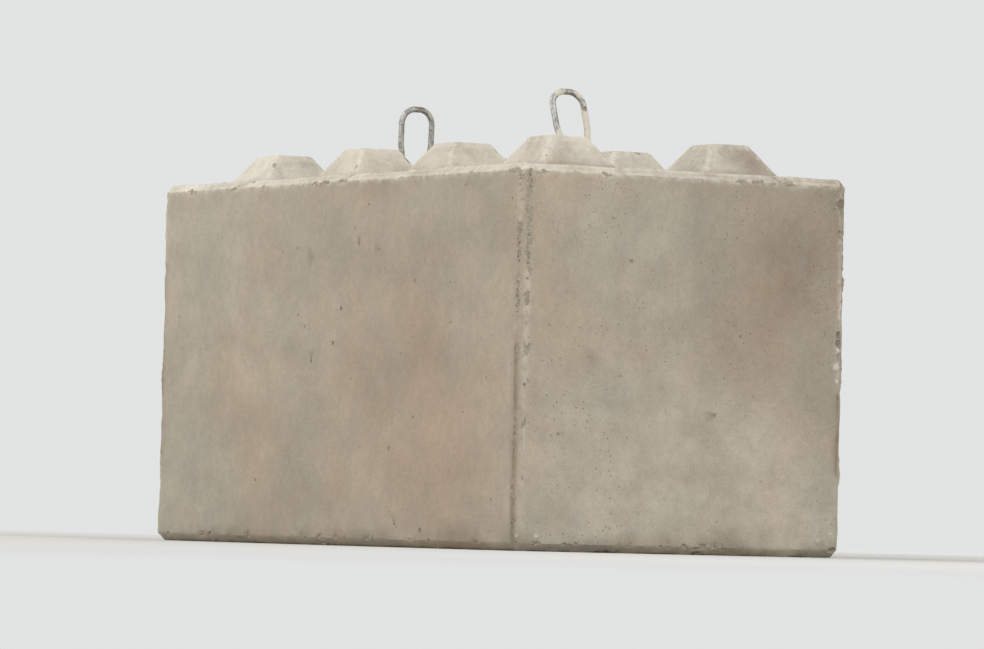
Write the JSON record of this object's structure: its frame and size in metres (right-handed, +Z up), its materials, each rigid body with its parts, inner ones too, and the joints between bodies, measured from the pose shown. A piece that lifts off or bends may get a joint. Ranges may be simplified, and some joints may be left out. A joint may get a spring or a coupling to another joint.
{
  "type": "interlocking concrete block",
  "caption": "Heavy cast concrete block with tapered studs on top, matching recesses below, chamfered edges and cast-in steel lifting loops, for dry-stacked walls.",
  "frame": {"origin": "middle of the flat underside on which the block stands", "axes": "+Z up, X along the block's length, Y across its width"},
  "size_m": [1.6, 0.8, 0.994],
  "materials": {
    "concrete": "plain grey-beige concrete as struck from a steel mould, mottled, with air holes, chipped edges and fine cement fins",
    "loop_steel": "dull galvanised round bar with cement splashes and a little rust where it enters the concrete"
  },
  "bodies": {
    "root": {"concrete_block": "concrete", "lifting_loop_left": "loop_steel", "lifting_loop_right": "loop_steel"}
  },
  "joints": []
}
